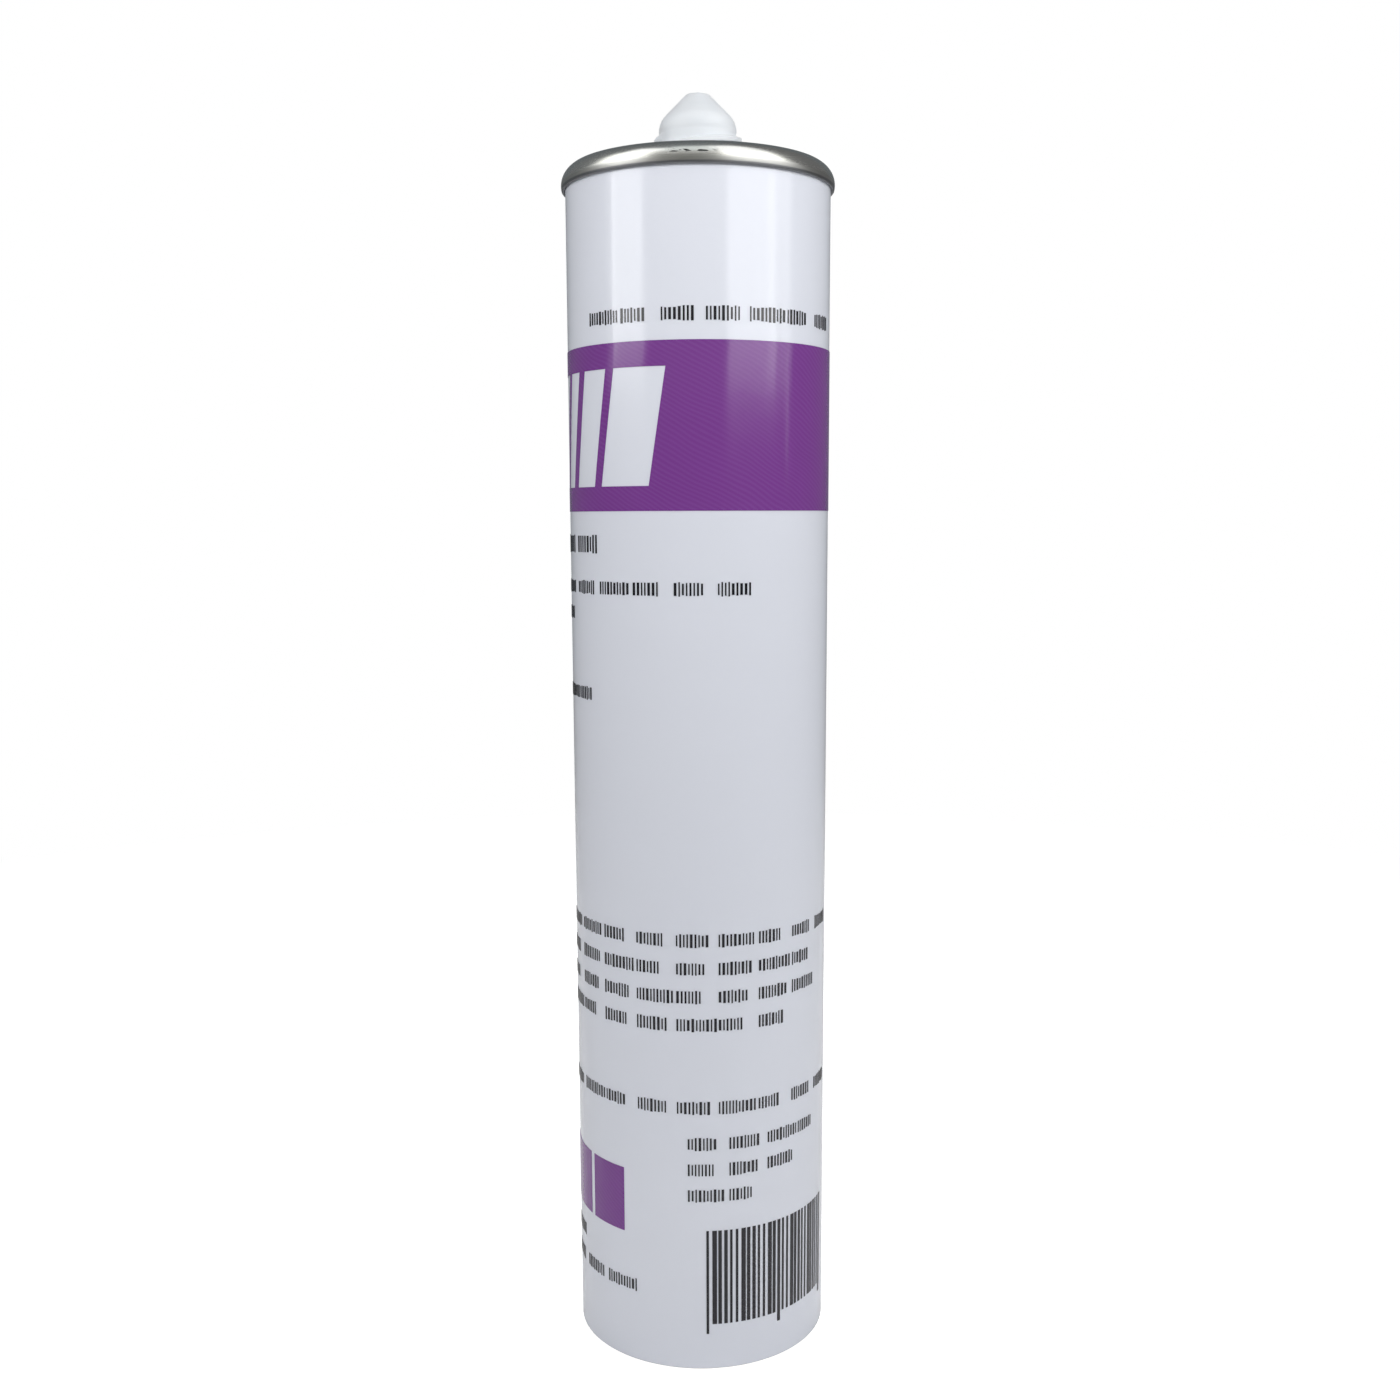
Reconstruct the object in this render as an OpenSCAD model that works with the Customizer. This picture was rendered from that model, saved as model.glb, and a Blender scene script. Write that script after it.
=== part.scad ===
// Caulk cartridge: a printed paper and foil tube with a tinplate end seamed onto it,
// a moulded screw neck with a closed tip, and a wiper piston behind the filling.
// The axis is Z, the rear edge stands on z = 0, and the front of the print faces -Y.

/* [Tube] */
// Outside diameter of the tube
tube_d = 50; // [44:0.5:60]
// Wall thickness of the tube
tube_wall = 1.5; // [1.3:0.1:1.7]
// Height of the tube, from its rear edge to its turned top edge
tube_h = 228.3; // [205:0.1:250]
// Height of the turned top edge that the rim grips
turned_h = 1.7; // [1.4:0.1:2.2]
// Chamfer that leads the piston into the rear edge
rear_chamfer = 0.4; // [0.2:0.1:0.6]

/* [Metal end] */
// Thickness of the tinplate
sheet = 0.3; // [0.2:0.05:0.35]
// Height of the rolled rim
rim_h = 4.2; // [3.9:0.1:4.6]
// Radius of the rim's round outer side
rim_side = 3.6; // [3.2:0.1:4.4]
// Bend radius along the middle of the sheet, at the top of the rim
rim_bend = 0.35; // [0.3:0.05:0.5]
// Depth of the rim's inner groove below its top
groove_depth = 4.9; // [4.4:0.1:5.6]
// Depth of the outer panel below the top of the rim
panel_depth = 3.4; // [3:0.1:3.8]
// Diameter at which the panel steps down
step_d = 34; // [30:0.5:37]
// Height of the step in the panel
step_h = 0.8; // [0.6:0.1:1]
// Height of the collar that is turned up round the neck
collar_h = 1.3; // [1:0.1:1.6]

/* [Neck] */
// Diameter of the neck where it passes through the metal end
neck_d = 18.5; // [18:0.25:20]
// Diameter of the neck's flange under the metal end
flange_d = 26; // [24:0.5:28]
// Thickness of the flange
flange_t = 1.4; // [1:0.1:2]
// How far the snap bead stands out over the collar
bead_out = 0.5; // [0.3:0.05:0.7]
// Height of the snap bead
bead_h = 1.6; // [1.2:0.1:2]
// Height of the nozzle seat above the snap bead
seat_rise = 0.5; // [0.3:0.1:0.8]
// Outside diameter of the nozzle seat
seat_d = 18; // [17.4:0.1:18]
// Diameter over the thread
thread_d = 16.6; // [16.2:0.1:17]
// Diameter at the root of the thread
root_d = 14.4; // [14:0.1:14.6]
// Number of ridges that start the thread
thread_starts = 2; // [1:1:2]
// Distance from one ridge of the thread to the next
thread_pitch = 2.8; // [2.4:0.1:3.2]
// Width of the thread at its root
thread_foot = 1.7; // [1.4:0.1:2]
// Width of the thread at its crest
thread_crest = 0.7; // [0.5:0.1:0.9]
// Height of the closed tip above the rim
tip_rise = 13.5; // [13.2:0.1:16]
// Diameter of the flat on the tip, to the corners that the rounding takes off
tip_d = 4.4; // [3:0.1:5]
// Radius round the flat on the tip
tip_round = 0.8; // [0.4:0.1:1.2]
// Diameter of the tip where it meets the thread
cone_d = 14.6; // [14.6:0.1:15.4]
// Radius between the side and the cone of the tip
cone_round = 4; // [2:0.1:4.5]
// Bore of the neck
bore_d = 10; // [9:0.1:10.6]
// Thickness of the tip that is cut off for use
tip_wall = 1.2; // [0.9:0.1:1.6]

/* [Piston] */
// Length of the piston
piston_h = 21; // [18:0.5:26]
// Thickness of the piston's face
face_t = 1.8; // [1.2:0.1:2.4]
// Thickness of the piston's skirt
skirt_t = 1.2; // [1:0.1:1.6]
// How far the skirt stays back from the wiper lips
skirt_back = 0.7; // [0.5:0.05:0.9]
// Length of each wiper lip
wiper_h = 3; // [2.4:0.1:3.6]
// Thickness of each wiper lip at its edge
wiper_t = 0.6; // [0.4:0.05:0.8]
// Number of ribs behind the face
rib_n = 8; // [6:1:12]
// Thickness of each rib
rib_t = 1; // [0.8:0.1:1.4]
// Height of the ribs
rib_h = 5; // [3:0.5:6]
// Diameter of the hub ring behind the face
hub_d = 14; // [10:0.5:18]

/* [Filling] */
// Height of the filling, which holds 300 ml in this bore
fill_h = 176.65; // [120:0.05:190]

/* [Print] */
// Thickness of the printed ink
ink_t = 0.06; // [0.04:0.01:0.1]
// Height of the lower edge of the purple band
band_z = 165.2; // [150:0.1:168]
// Height of the purple band
band_h = 29.8; // [26:0.1:31]
// Height of the white bars that are left open in the band
bar_h = 20.9; // [16:0.1:22]
// Number of groups of white bars
group_n = 3; // [1:1:4]
// Width of a group of white bars
group_w = 24; // [20:0.5:25]
// Angle from one group to the next
group_step = 61; // [60:1:66]
// Angle of the middle of the first group, from the front
group_turn = -46; // [-60:1:-40]
// Lean of the white bars
bar_lean = 9; // [0:0.5:12]
// Height of the dark rows
row_h = 2.6; // [1.2:0.1:3]
// Height of the heavy row under the band
heavy_h = 3.4; // [2.6:0.1:4.4]
// Length of a word in a row, with the space after it
word_w = 8; // [6:0.5:10]
// Space after a word
word_gap = 1.6; // [1:0.1:2.4]
// Distance from the band up to the middle of the row over it
over_gap = 4.5; // [3:0.1:6]
// Distance from the band down to the middle of the heavy row
heavy_gap = 6; // [4:0.1:8]
// Distance from the band down to the middle of the first small row
small_gap = 14; // [11:0.1:15]
// Distance from the first small row to the second
small_pitch = 5; // [4:0.1:7]
// Distance from the band down to the middle of the lone row
lone_gap = 34; // [28:0.5:50]
// Height of the middle of the uppermost row in the lower field
field_z = 85.9; // [78:0.1:110]
// Distance between the rows in the lower field
field_pitch = 5.45; // [4:0.05:7]
// Number of rows in the lower field
field_n = 4; // [1:1:5]
// Height of the middle of the uppermost row in the right column
column_z = 46; // [44:0.1:48]
// Distance between the rows in the right column
column_pitch = 5.2; // [4:0.1:6]
// Distance from the right column up to the middle of the long row over it
column_gap = 7.2; // [5:0.1:9]
// Height of the lower edge of the purple blocks near the rear edge
block_z = 26.3; // [24:0.1:28]
// Size upwards of the purple blocks
block_h = 13; // [8:0.1:14]
// Number of purple blocks
block_n = 3; // [1:1:4]
// Distance from the blocks down to the middle of the first of the two rows under them
address_gap = 5; // [3:0.1:7]
// Distance between these two rows
address_pitch = 5.6; // [4:0.1:7]
// Height of the lower edge of the striped field
stripe_z = 9.3; // [6:0.1:11]
// Size upwards of the striped field
stripe_h = 19.2; // [12:0.1:20]
// Width of the thinnest stripe
stripe_w = 0.5; // [0.4:0.01:0.54]
// Distance from one stripe to the next
stripe_pitch = 1.15; // [1:0.05:1.2]
// Number of stripes
stripe_n = 27; // [15:1:29]

/* [Hidden] */
$fn = 96;
eps = 0.01;

// Clearances: inside the seam, round the neck, round the piston, to the filling and under the ink
seam_gap = 0.05;
neck_gap = 0.05;
wiper_gap = 0.08;
fill_gap = 0.25;
ink_gap = 0.02;
// Room between the two strands of the hook at the foot of the rim
hook_room = 0.06;

// Centre of the circle whose distances from points a and b are ra and rb, on the left of the way to b
function centre_between(a, ra, b, rb) =
    let(
        span = norm(b - a),
        way = (b - a) / span,
        along = (ra * ra - rb * rb + span * span) / (2 * span)
    )
    a + along * way + sqrt(ra * ra - along * along) * [-way[1], way[0]];

// Tube
tube_r = tube_d / 2;
bore_r = tube_r - tube_wall;

// Metal end, given along the middle of the sheet: curl at the foot, round side and top bend
end_top = tube_h + seam_gap + sheet;
chuck_r = bore_r - seam_gap - sheet / 2;
hook_r = tube_r + seam_gap + sheet / 2;
curl_bend = (sheet + hook_room) / 2;
curl = [hook_r + curl_bend, end_top - rim_h + curl_bend + sheet / 2];
crown = [chuck_r + rim_bend, end_top - sheet / 2 - rim_bend];
side_bend = rim_side - sheet / 2;
side = centre_between(curl, side_bend - curl_bend, crown, side_bend - rim_bend);
foot_angle = atan2(side[1] - curl[1], curl[0] - side[0]);
side_angle = atan2(crown[1] - side[1], crown[0] - side[0]);

// Turned edge of the tube, which follows the inside of the rim
turned_bend = side_bend - sheet / 2 - seam_gap;
crown_bend = rim_bend - sheet / 2 - seam_gap;
turned_z = tube_h - turned_h;
turned_angle = asin((turned_z - side[1]) / turned_bend);
turned_low = turned_z - side[0] - turned_bend * cos(turned_angle) + tube_r;
// Height at which the rim's round side comes down on the hook
hook_limit = side[1] + sqrt(
    pow(side_bend - sheet / 2, 2) - pow(hook_r + sheet / 2 + seam_gap - side[0], 2));
hook_h = min(turned_low - seam_gap, hook_limit) - curl[1];

// Groove, stepped panel and collar
groove_bend = 0.6;
groove_z = end_top - groove_depth + groove_bend + sheet / 2;
panel_bend = 0.5;
panel_z = end_top - panel_depth - sheet / 2;
step_bend = 0.7;
step_r = step_d / 2;
inner_z = panel_z - step_h;
// Distance across from one bend of the sloping step to the other
step_run = step_h + 2 * step_bend * (sin(45) + cos(45) - 1);
collar_bend = 0.5;
collar_r = neck_d / 2 + neck_gap + sheet / 2;
collar_top = inner_z + sheet / 2 + collar_h;

// Neck
flange_top = inner_z - sheet / 2 - neck_gap;
flange_z = flange_top - flange_t;
bead_z = collar_top + neck_gap;
seat_z = bead_z + bead_h + seat_rise;
tip_z = end_top + tip_rise;
cone_r = cone_d / 2;
tip_r = tip_d / 2;
cone_low = tip_z - (cone_r - tip_r - cone_round * (1 - cos(45))) - cone_round * sin(45);
// Height of the straight side between the cone and the thread
cone_side = 0.2;
cone_step = cone_r - root_d / 2;
root_top = cone_low - cone_side - cone_step;
thread_low = seat_z + thread_foot / 2;
thread_high = root_top - thread_foot / 2;
thread_lead = thread_pitch * thread_starts;
thread_turns = (thread_high - thread_low) / thread_lead;
// Angle at which the upper end of the first ridge runs out
thread_end = 25;
// Angle over which each end of a ridge fades
thread_fade = 30;
// How far the thread is rooted in the neck
thread_sink = 0.4;
// Widening at the inner end of the bore
funnel = 2;

// Piston and filling
fill_r = bore_r - fill_gap;
fill_top = flange_z - fill_gap;
fill_z = fill_top - fill_h;
face_z = fill_z - fill_gap;
piston_z = face_z - piston_h;
wiper_r = bore_r - wiper_gap;
skirt_r = wiper_r - skirt_back;
// Height of the land at the edge of each wiper lip
wiper_land = 0.6;

// Print
ink_r = tube_r + ink_gap;
band_mid = band_z + band_h / 2;
band_top = band_z + band_h;
// Shares of a group's width that its three bars take, with equal gaps between them
bar_shares = [0.42, 0.26, 0.16];
bar_gap = (1 - bar_shares[0] - bar_shares[1] - bar_shares[2]) / 2;
// Angles of the left edge and the right edge of the printed field
field_left = -84;
field_right = 84;
// Angle at which the right column and the striped field start
column_left = -6;
stripe_left = 2;
// How much further down the end stripes and the middle one reach
stripe_drop = 2;
// Share by which a stripe of the second and third width grows
stripe_growth = 0.4;
// Angle of the first purple block's left edge, its width and the step to the next
block_left = -58;
block_turn = 21;
block_step = 24;
// Each row: height of its middle, its own height, its first angle and its last angle
upper_rows = [
    [band_top + over_gap, row_h, -52, 80],
    [band_z - heavy_gap, heavy_h, field_left, -42],
    [band_z - small_gap, row_h, field_left, 34],
    [band_z - small_gap - small_pitch, row_h, field_left, -50],
    [band_z - lone_gap, row_h, field_left, -46]
];
field_rows = [for (i = [0 : field_n - 1])
    [field_z - i * field_pitch, row_h, field_left, field_right - i * i * 4]];
column_rows = concat(
    [[column_z + column_gap, row_h, field_left, field_right]],
    [for (i = [0 : 2]) [column_z - i * column_pitch, row_h, column_left, 74 - i * 13]]
);
address_rows = [for (i = [0 : 1])
    [block_z - address_gap - i * address_pitch, row_h, field_left, -56 + i * 36]];

function last(v) = v[len(v) - 1];

// Points of one bend [centre r, centre z, radius, first angle, last angle], moved to the left by off
function bend_points(b, off) =
    let(way = sign(b[4] - b[3]), n = max(2, ceil(abs(b[4] - b[3]) / 12)))
    [for (i = [0 : n])
        let(a = b[3] + (b[4] - b[3]) * i / n)
        [b[0] + (b[2] - off * way) * cos(a), b[1] + (b[2] - off * way) * sin(a)]];

// Points of all bends, where a bend that starts at the end of the one before it gives up its first
function side_points(bends, off) = [for (i = [0 : len(bends) - 1])
    let(
        points = bend_points(bends[i], off),
        met = i > 0 && norm(last(bend_points(bends[i - 1], off)) - points[0]) < eps
    )
    for (k = [met ? 1 : 0 : len(points) - 1]) points[k]];

function turned_round(v) = [for (i = [len(v) - 1 : -1 : 0]) v[i]];

// Section of a bent sheet, with a straight length before its first bend and after its last
module sheet_section(bends, t, before, after) {
    left = side_points(bends, t / 2);
    right = side_points(bends, -t / 2);
    polygon(concat(
        [left[0] + before], left, [last(left) + after],
        [last(right) + after], turned_round(right), [right[0] + before]
    ));
}

// Tube wall with its top edge turned outwards, rounded to lie inside the rim's bends
module tube_body() {
    color("white") rotate_extrude() polygon(concat(
        [[bore_r + rear_chamfer, 0], [tube_r, 0], [tube_r, turned_low]],
        side_points([
            [side[0], side[1], turned_bend, turned_angle, side_angle],
            [crown[0], crown[1], crown_bend, side_angle, 180]
        ], 0),
        [[bore_r, rear_chamfer]]
    ));
}

// Stamped tinplate end: hook, rim, groove, stepped panel and collar, all from one sheet
module top_end() {
    drop_r = step_r - step_run;
    color("silver") rotate_extrude() sheet_section([
        [curl[0], curl[1], curl_bend, 180, 360 - foot_angle],
        [side[0], side[1], side_bend, -foot_angle, side_angle],
        [crown[0], crown[1], rim_bend, side_angle, 180],
        [chuck_r - groove_bend, groove_z, groove_bend, 0, -180],
        [chuck_r - 2 * groove_bend - panel_bend, panel_z - panel_bend, panel_bend, 0, 90],
        [step_r, panel_z - step_bend, step_bend, 90, 135],
        [drop_r, inner_z + step_bend, step_bend, 315, 270],
        [collar_r + collar_bend, inner_z + collar_bend, collar_bend, 270, 180]
    ], sheet, [0, hook_h], [0, collar_top - inner_z - collar_bend]);
}

// Ridge of the thread: a four-sided profile carried round the neck, low at both ends
module thread_ridge() {
    steps = 36;
    n = ceil(thread_turns * steps);
    turn = thread_turns * 360;
    start = thread_end - turn;
    low_r = root_d / 2 - thread_sink;
    points = [for (i = [0 : n])
        let(
            a = turn * i / n,
            full = min(1, a / thread_fade, (turn - a) / thread_fade),
            high_r = low_r + thread_sink / 2 + (thread_d / 2 - low_r - thread_sink / 2) * full,
            z = thread_low + thread_lead * a / 360
        )
        for (p = [
            [low_r, -thread_foot / 2], [high_r, -thread_crest / 2],
            [high_r, thread_crest / 2], [low_r, thread_foot / 2]
        ])
        [p[0] * cos(start + a), p[0] * sin(start + a), z + p[1]]
    ];
    walls = [for (i = [0 : n - 1]) for (k = [0 : 3])
        let(p = 4 * i + k, q = 4 * i + (k + 1) % 4)
        each [[p, q, q + 4], [p, q + 4, p + 4]]
    ];
    ends = [[3, 2, 1], [3, 1, 0], [4 * n, 4 * n + 1, 4 * n + 2], [4 * n, 4 * n + 2, 4 * n + 3]];
    polyhedron(points, concat(walls, ends));
}

// Moulded neck: flange, snap bead, nozzle seat, threaded shank and closed tip, hollow inside
module neck() {
    bore = bore_d / 2;
    inner_tip = tip_r - tip_wall / 2;
    inner_high = tip_z - tip_wall;
    color("whitesmoke") {
        rotate_extrude() polygon(concat(
            [
                [bore + funnel, flange_z], [flange_d / 2, flange_z], [flange_d / 2, flange_top],
                [neck_d / 2, flange_top], [neck_d / 2, bead_z],
                [neck_d / 2 + bead_out, bead_z], [neck_d / 2 + bead_out, bead_z + bead_h / 2],
                [seat_d / 2, bead_z + bead_h], [seat_d / 2, seat_z],
                [root_d / 2, seat_z], [root_d / 2, root_top], [cone_r, root_top + cone_step]
            ],
            bend_points([cone_r - cone_round, cone_low, cone_round, 0, 45], 0),
            bend_points([tip_r - tip_round * tan(22.5), tip_z - tip_round, tip_round, 45, 90], 0),
            [
                [0, tip_z], [0, inner_high], [inner_tip, inner_high],
                [bore, inner_high - bore + inner_tip], [bore, flange_z + funnel]
            ]
        ));
        for (i = [0 : thread_starts - 1]) rotate([0, 0, i * 360 / thread_starts]) thread_ridge();
    }
}

// Piston: a cup with a wiper lip at each end, open to the rear, ribbed behind its face
module piston() {
    inner_r = skirt_r - skirt_t;
    back_z = face_z - face_t;
    lip_root = wiper_r - wiper_t - skirt_back;
    groove = wiper_h - wiper_t;
    color("gainsboro") union() {
        rotate_extrude() polygon([
            [0, face_z], [lip_root - groove, face_z], [lip_root - wiper_t, face_z - groove],
            [lip_root, face_z - groove], [wiper_r - wiper_t, face_z], [wiper_r, face_z],
            [wiper_r, face_z - wiper_land], [skirt_r, face_z - wiper_h],
            [skirt_r, piston_z + wiper_h], [wiper_r, piston_z + wiper_land], [wiper_r, piston_z],
            [wiper_r - wiper_t, piston_z], [inner_r, piston_z + wiper_h],
            [inner_r, back_z - groove], [inner_r - groove, back_z], [0, back_z]
        ]);
        difference() {
            union() {
                translate([0, 0, back_z - rib_h]) cylinder(h = rib_h + eps, d = hub_d);
                for (i = [0 : rib_n - 1]) rotate([0, 0, i * 360 / rib_n])
                    translate([0, -rib_t / 2, back_z - rib_h])
                        cube([inner_r + skirt_t / 2, rib_t, rib_h + eps]);
            }
            translate([0, 0, back_z - rib_h - 1]) cylinder(h = rib_h + 1, d = hub_d - 2 * rib_t);
        }
    }
}

// Filling between the piston and the neck's flange
module sealant() {
    color("ivory") translate([0, 0, fill_z]) cylinder(h = fill_h, r = fill_r);
}

// Piece of ink on the tube from one angle to another, measured from the front
module ink(first, end, z, h) {
    rotate([0, 0, first - 90]) rotate_extrude(angle = end - first)
        translate([ink_r, z]) square([ink_t, h]);
}

// Leaning bar that is cut through the band, from x to x + w
module white_bar(x, w) {
    lean = tan(bar_lean) * bar_h / 2;
    rotate([90, 0, 0]) translate([x, band_mid, 0]) linear_extrude(tube_d)
        polygon([
            [-lean, -bar_h / 2], [w - lean, -bar_h / 2],
            [w + lean, bar_h / 2], [lean, bar_h / 2]
        ]);
}

// Three bars, each narrower than the one to its right
module white_group() {
    white_bar(group_w / 2 - bar_shares[0] * group_w, bar_shares[0] * group_w);
    white_bar(-group_w / 2 + (bar_shares[2] + bar_gap) * group_w, bar_shares[1] * group_w);
    white_bar(-group_w / 2, bar_shares[2] * group_w);
}

// Band, open where the white bars show, and the purple blocks near the rear edge
module print_purple() {
    color("#753E8C") {
        difference() {
            rotate_extrude() translate([ink_r, band_z]) square([ink_t, band_h]);
            for (i = [0 : group_n - 1]) rotate([0, 0, group_turn - i * group_step]) white_group();
        }
        for (i = [0 : block_n - 1])
            ink(block_left - i * block_step, block_left - i * block_step + block_turn, block_z, block_h);
    }
}

// One printed row, broken into words of uneven length
module ink_row(row, seed) {
    turn = 180 / PI / tube_r;
    n = floor((row[3] - row[2]) / (word_w * turn));
    for (i = [0 : n - 1]) {
        short = (seed * 5 + i * 7) % 4 * word_gap / 2;
        first = row[2] + i * word_w * turn;
        ink(first, first + (word_w - word_gap - short) * turn, row[0] - row[1] / 2, row[1]);
    }
}

// Stripes of three widths, with a longer one at each end and in the middle
module striped_field() {
    turn = 180 / PI / tube_r;
    for (i = [0 : stripe_n - 1]) {
        wide = stripe_w * (1 + stripe_growth * (i * 7 % 5 % 3));
        long = i == 0 || i == stripe_n - 1 || i == floor(stripe_n / 2) ? stripe_drop : 0;
        first = stripe_left + i * stripe_pitch * turn;
        ink(first, first + wide * turn, stripe_z - long, stripe_h + long);
    }
}

module print_dark() {
    rows = concat(upper_rows, field_rows, column_rows, address_rows);
    color("#2E2C33") {
        for (i = [0 : len(rows) - 1]) ink_row(rows[i], i);
        striped_field();
    }
}

tube_body();
top_end();
neck();
piston();
sealant();
print_purple();
print_dark();
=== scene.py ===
"""Dress the caulk cartridge: printed tube, seamed metal end, screw neck, piston and filling."""
import logging
import math
import random
from dataclasses import dataclass, field
from enum import Enum
from typing import Any, Iterable, Mapping, Sequence, Union

import bmesh
import bpy
from mathutils import Matrix, Vector


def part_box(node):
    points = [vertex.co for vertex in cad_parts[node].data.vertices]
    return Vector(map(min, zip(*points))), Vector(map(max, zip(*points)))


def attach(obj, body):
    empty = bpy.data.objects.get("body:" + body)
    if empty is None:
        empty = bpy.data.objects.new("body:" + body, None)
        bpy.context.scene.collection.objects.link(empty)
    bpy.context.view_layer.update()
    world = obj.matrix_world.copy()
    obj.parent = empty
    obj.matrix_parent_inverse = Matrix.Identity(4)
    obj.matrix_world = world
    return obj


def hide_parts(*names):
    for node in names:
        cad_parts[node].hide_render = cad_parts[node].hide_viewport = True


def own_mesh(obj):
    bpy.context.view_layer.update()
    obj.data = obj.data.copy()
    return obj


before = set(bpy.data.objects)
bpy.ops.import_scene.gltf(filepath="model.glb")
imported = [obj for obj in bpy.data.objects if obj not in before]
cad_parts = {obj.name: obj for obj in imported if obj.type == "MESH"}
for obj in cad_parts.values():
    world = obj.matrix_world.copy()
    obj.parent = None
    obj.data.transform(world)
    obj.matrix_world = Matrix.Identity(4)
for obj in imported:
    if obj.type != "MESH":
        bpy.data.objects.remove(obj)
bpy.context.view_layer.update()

log = logging.getLogger("caulk_tube")

Colour = tuple[float, float, float]
Point = tuple[float, float]
Span = tuple[float, float]
Bend = tuple[float, float, float, float, float]
MM = 0.001
TOUCHING = 0.001 * MM
WHITE = (1.0, 1.0, 1.0, 1.0)


class Body(Enum):
    """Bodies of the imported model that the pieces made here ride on."""

    CARTRIDGE = "cartridge"


class Slot(Enum):
    """Material slots of the record."""

    TUBE = "tube_white"
    METAL = "tinplate"
    NECK = "neck_plastic"
    FILLING = "filling"
    PURPLE = "purple_ink"
    DARK = "dark_ink"


class Term:
    """A socket that takes part in Python arithmetic by adding Math nodes to its tree."""

    def __init__(self, graph: "Graph", socket: bpy.types.NodeSocket) -> None:
        """Wrap a socket.

        Args:
            graph: The tree that the socket belongs to.
            socket: The output socket.
        """
        self.graph = graph
        self.socket = socket

    def __add__(self, other: "Number") -> "Term":
        """Sum of this term and another."""
        return self.graph.math("ADD", self, other)

    __radd__ = __add__

    def __sub__(self, other: "Number") -> "Term":
        """Difference of this term and another."""
        return self.graph.math("SUBTRACT", self, other)

    def __rsub__(self, other: "Number") -> "Term":
        """Difference of a number and this term."""
        return self.graph.math("SUBTRACT", other, self)

    def __mul__(self, other: "Number") -> "Term":
        """Product of this term and another."""
        return self.graph.math("MULTIPLY", self, other)

    __rmul__ = __mul__

    def __truediv__(self, other: "Number") -> "Term":
        """Quotient of this term and another."""
        return self.graph.math("DIVIDE", self, other)

    def __abs__(self) -> "Term":
        """Size of this term without its sign."""
        return self.graph.math("ABSOLUTE", self)

    def clamped(self) -> "Term":
        """This term held between 0 and 1."""
        return self.graph.math("MAXIMUM", self.graph.math("MINIMUM", self, 1.0), 0.0)

    def above(self, edge: float, blur: float) -> "Term":
        """Mask that rises from 0 to 1 where this term passes an edge.

        Args:
            edge: The value at which the mask is a half.
            blur: The width of the rise.

        Returns:
            The mask.
        """
        return ((self - (edge - blur / 2)) / blur).clamped()

    def within(self, low: float, high: float, blur: float) -> "Term":
        """Mask that is 1 while this term lies between two edges.

        Args:
            low: The lower edge.
            high: The upper edge.
            blur: The width of the rise at each edge.

        Returns:
            The mask.
        """
        return self.above(low, blur) * (1 - self.above(high, blur))


Number = Union[Term, float]


class Graph:
    """A shader tree or a geometry tree that nodes are added to."""

    def __init__(self, tree: bpy.types.NodeTree) -> None:
        """Wrap a tree.

        Args:
            tree: The tree, emptied of its first nodes.
        """
        self.tree = tree
        tree.nodes.clear()

    def node(
        self,
        kind: str,
        settings: Mapping[str, Any] | None = None,
        values: Mapping[Any, Any] | None = None,
        output: Any = 0,
    ) -> Term:
        """Add a node.

        Args:
            kind: The node's type.
            settings: Its properties, set first.
            values: A value or a term for each socket, by name or by index.
            output: The name or the index of the output that is returned.

        Returns:
            The output.
        """
        made = self.tree.nodes.new(kind)
        for name, setting in (settings or {}).items():
            setattr(made, name, setting)
        for name, value in (values or {}).items():
            if isinstance(value, Term):
                self.tree.links.new(value.socket, made.inputs[name])
            else:
                made.inputs[name].default_value = value
        return Term(self, made.outputs[output]) if len(made.outputs) else Term(self, made.inputs[0])

    def split(self, vector: Term) -> tuple[Term, ...]:
        """The three parts of a vector."""
        parts = self.node("ShaderNodeSeparateXYZ", values={0: vector}).socket.node.outputs
        return tuple(Term(self, part) for part in parts)

    def math(self, operation: str, *parts: Number) -> Term:
        """Add a Math node.

        Args:
            operation: The operation.
            *parts: Its one to three values.

        Returns:
            The result.
        """
        return self.node("ShaderNodeMath", {"operation": operation}, dict(enumerate(parts)))

    def blend(self, share: Number, first: Any, second: Any) -> Term:
        """Mix two colours.

        Args:
            share: The share of the second colour.
            first: The colour at 0.
            second: The colour at 1.

        Returns:
            The mixed colour.
        """
        first, second = (c if isinstance(c, Term) else opaque(c) for c in (first, second))
        return self.node(
            "ShaderNodeMix", {"data_type": "RGBA"}, {0: share, 6: first, 7: second}, output=2)


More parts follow.
